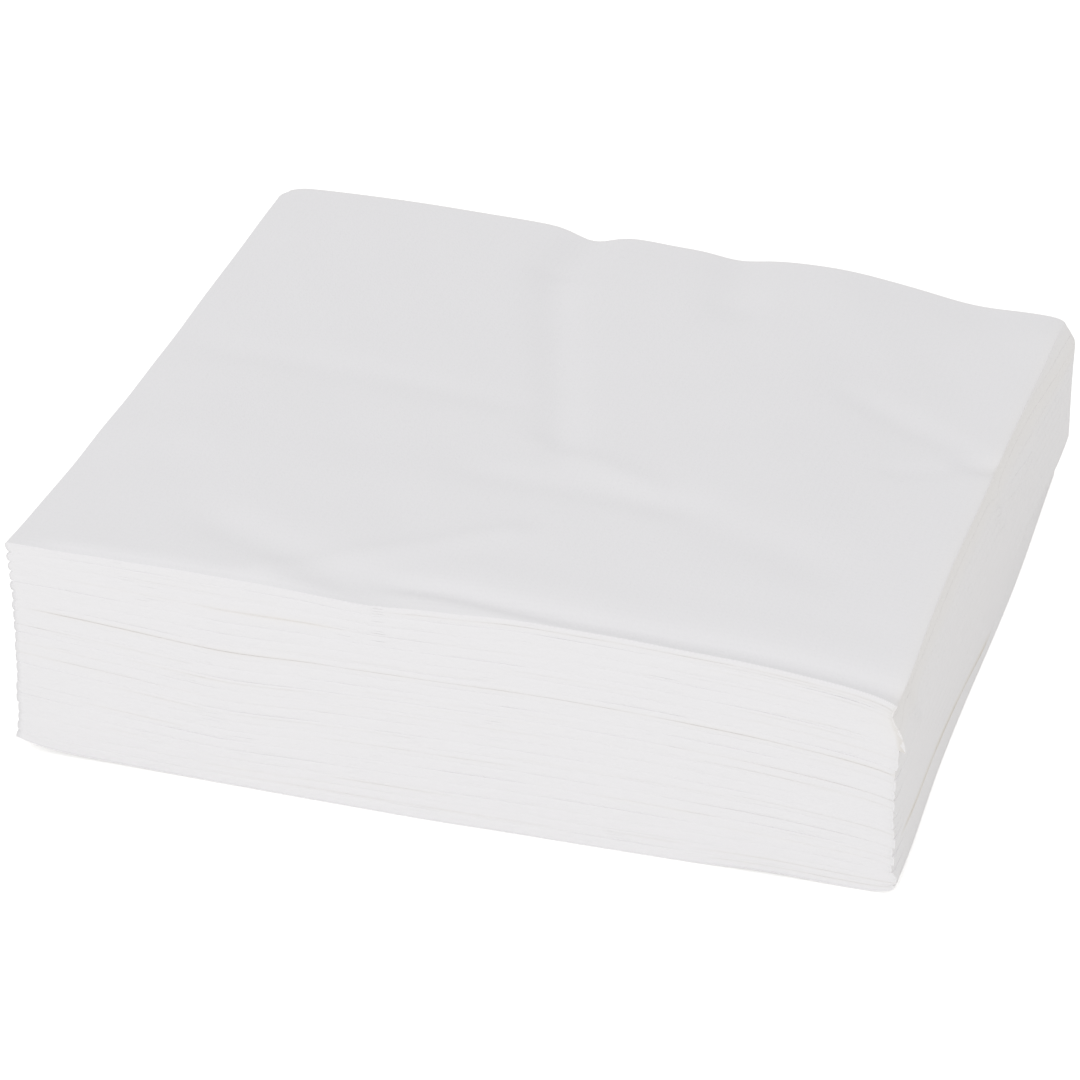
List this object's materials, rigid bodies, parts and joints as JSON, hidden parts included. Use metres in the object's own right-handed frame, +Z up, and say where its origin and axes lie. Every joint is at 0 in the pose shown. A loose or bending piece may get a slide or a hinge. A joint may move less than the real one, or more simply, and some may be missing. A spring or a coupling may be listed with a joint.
{
  "type": "stack of paper napkins",
  "caption": "Stack of plain white paper napkins, each a square sheet folded into a quarter, with cut edges at the front and one side and closed folds at the others.",
  "frame": {"origin": "middle of the stack's underside", "axes": "+Z up through the stack, +X towards the closed second folds, +Y towards the first folds, so the cut edges face -X and -Y"},
  "size_m": [0.1662, 0.1663, 0.0433],
  "materials": {
    "paper": "matte"
  },
  "bodies": {
    "root": {"napkin_01": "paper", "napkin_02": "paper", "napkin_03": "paper", "napkin_04": "paper", "napkin_05": "paper", "napkin_06": "paper", "napkin_07": "paper", "napkin_08": "paper", "napkin_09": "paper", "napkin_10": "paper", "napkin_11": "paper", "napkin_12": "paper", "napkin_13": "paper", "napkin_14": "paper", "napkin_15": "paper", "napkin_16": "paper", "napkin_17": "paper", "napkin_18": "paper", "napkin_19": "paper", "napkin_20": "paper"}
  },
  "joints": []
}
